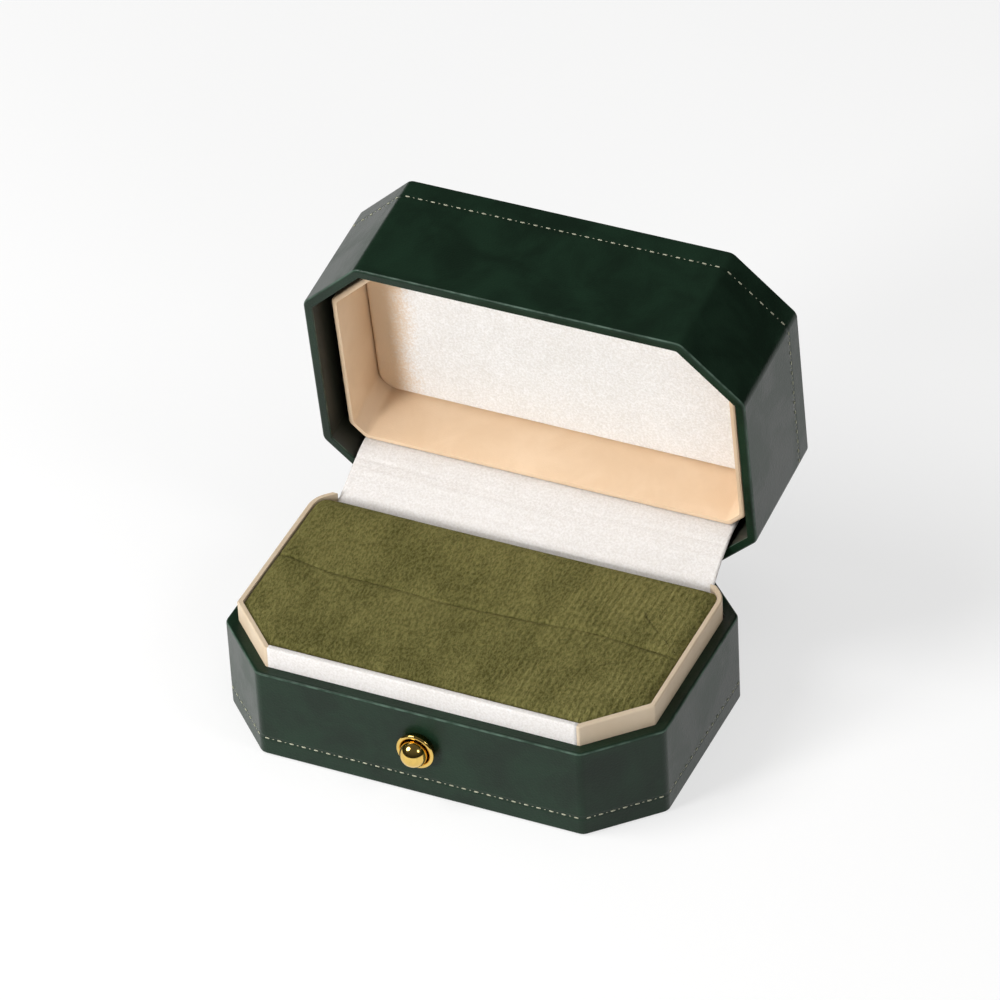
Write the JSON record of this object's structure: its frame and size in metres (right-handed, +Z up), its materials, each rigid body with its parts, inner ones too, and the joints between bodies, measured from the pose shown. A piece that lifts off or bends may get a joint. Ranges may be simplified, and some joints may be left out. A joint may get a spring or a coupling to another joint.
{
  "type": "ring box",
  "caption": "Long octagonal jewellery box for rings with a hinged deep lid, a slit velvet cushion inside a raised collar, a recessed lid tray and a front push button.",
  "frame": {"origin": "centre of the underside, on the surface that the box stands on", "axes": "+X along the box to the right, +Y to the hinge at the back, +Z up; the lid is open at rest"},
  "size_m": [0.1, 0.0992, 0.0894],
  "materials": {
    "green_leatherette": "fine-grained dark green leatherette",
    "shell_plastic": "moulded",
    "sole_felt": "felt",
    "cream_leatherette": "smooth",
    "white_suede": "suede",
    "tan_leatherette": "smooth",
    "card": "plain card",
    "foam": "soft foam",
    "olive_velvet": "ribbed velvet",
    "brass": "polished",
    "steel": "plain"
  },
  "bodies": {
    "base": {"base_shell": "shell_plastic", "base_wrap": "green_leatherette", "base_sole": "sole_felt", "collar_frame": "cream_leatherette", "collar_facing": "white_suede", "bay_wall": "card", "cushion_riser": "card", "cushion_board": "card", "cushion_front": "olive_velvet", "cushion_back": "olive_velvet", "hinge_leaf_base": "brass", "hinge_pin": "steel", "hinge_screws_base": "brass", "hinge_cover": "white_suede", "button_cup": "brass", "latch_bracket": "steel", "bracket_rivets": "steel", "latch_spring": "steel"},
    "lid": {"lid_shell": "shell_plastic", "lid_wrap": "green_leatherette", "lid_tray": "tan_leatherette", "lid_pad": "white_suede", "tray_spacer": "foam", "lid_keeper": "steel", "hinge_leaf_lid": "brass", "hinge_screws_lid": "brass"},
    "button": {"button_knob": "brass", "latch_plate": "steel", "latch_magnet": "steel", "latch_ring": "steel"}
  },
  "joints": [
    {"name": "lid_hinge", "type": "hinge", "parent": "base", "child": "lid", "pos_m": [0, 0.0315, 0.022], "axis": [1, 0, 0], "range_deg": [0, 83.5], "deforming": ["hinge_cover"]},
    {"name": "button_press", "type": "slide", "parent": "base", "child": "button", "axis": [0, 1, 0], "range_m": [0, 0.001], "stiffness_N_per_m": 400, "springref_m": -0.001, "deforming": ["latch_spring"]}
  ]
}
